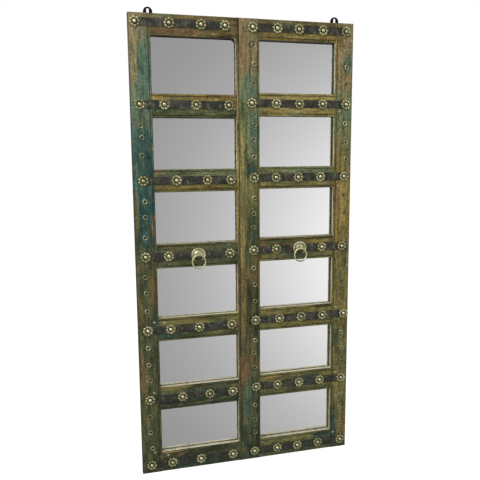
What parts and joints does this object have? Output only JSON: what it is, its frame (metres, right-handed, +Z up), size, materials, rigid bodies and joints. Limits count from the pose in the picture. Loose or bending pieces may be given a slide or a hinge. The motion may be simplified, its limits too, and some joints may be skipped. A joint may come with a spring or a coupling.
{
  "type": "shutter mirror",
  "caption": "Tall wall mirror made of two joined shutter leaves with stacked rectangular panes, studded iron straps over the rails, ring pulls and two hanging lugs.",
  "frame": {"origin": "middle of the panel on the back face of the backing board, the face that lies against the wall", "axes": "+Z up, +Y into the wall so that the mirrors face -Y, +X to the right as seen from the front"},
  "size_m": [0.907, 0.0523, 1.858],
  "materials": {
    "painted_wood": "old olive and teal-green paint, worn through to brown wood, matte",
    "strap_iron": "dark worn iron with blue-grey patches",
    "brass_trim": "antique brass, pale on the high places and dark in the hollows",
    "mirror_glass": "plain silvered glass",
    "lug_iron": "black, satin",
    "screw_steel": "plain zinc-plated steel",
    "board_ply": "bare plywood"
  },
  "bodies": {
    "panel": {"left_outer_stile": "painted_wood", "left_meeting_stile": "painted_wood", "left_rail_1": "painted_wood", "left_rail_2": "painted_wood", "left_rail_3": "painted_wood", "left_rail_4": "painted_wood", "left_rail_5": "painted_wood", "left_rail_6": "painted_wood", "left_rail_7": "painted_wood", "left_strap_1": "strap_iron", "left_strap_2": "strap_iron", "left_strap_3": "strap_iron", "left_strap_4": "strap_iron", "left_strap_5": "strap_iron", "left_strap_6": "strap_iron", "left_strap_7": "strap_iron", "left_mirror_1": "mirror_glass", "left_mirror_2": "mirror_glass", "left_mirror_3": "mirror_glass", "left_mirror_4": "mirror_glass", "left_mirror_5": "mirror_glass", "left_mirror_6": "mirror_glass", "left_pull_rose": "brass_trim", "left_pull_staple": "brass_trim", "left_hanging_lug": "lug_iron", "left_lug_screw_upper": "screw_steel", "left_lug_screw_lower": "screw_steel", "right_outer_stile": "painted_wood", "right_meeting_stile": "painted_wood", "right_rail_1": "painted_wood", "right_rail_2": "painted_wood", "right_rail_3": "painted_wood", "right_rail_4": "painted_wood", "right_rail_5": "painted_wood", "right_rail_6": "painted_wood", "right_rail_7": "painted_wood", "right_strap_1": "strap_iron", "right_strap_2": "strap_iron", "right_strap_3": "strap_iron", "right_strap_4": "strap_iron", "right_strap_5": "strap_iron", "right_strap_6": "strap_iron", "right_strap_7": "strap_iron", "right_mirror_1": "mirror_glass", "right_mirror_2": "mirror_glass", "right_mirror_3": "mirror_glass", "right_mirror_4": "mirror_glass", "right_mirror_5": "mirror_glass", "right_mirror_6": "mirror_glass", "right_pull_rose": "brass_trim", "right_pull_staple": "brass_trim", "right_hanging_lug": "lug_iron", "right_lug_screw_upper": "screw_steel", "right_lug_screw_lower": "screw_steel", "backing_board": "board_ply"},
    "left_ring": {"left_pull_ring": "brass_trim"},
    "right_ring": {"right_pull_ring": "brass_trim"}
  },
  "joints": [
    {"name": "left_ring_swing", "type": "hinge", "parent": "panel", "child": "left_ring", "pos_m": [-0.2046, -0.04525, -0.005], "axis": [-1, 0, 0], "range_deg": [-9, 188]},
    {"name": "right_ring_swing", "type": "hinge", "parent": "panel", "child": "right_ring", "pos_m": [0.2271, -0.04525, 0.002], "axis": [-1, 0, 0], "range_deg": [-9, 188]}
  ]
}
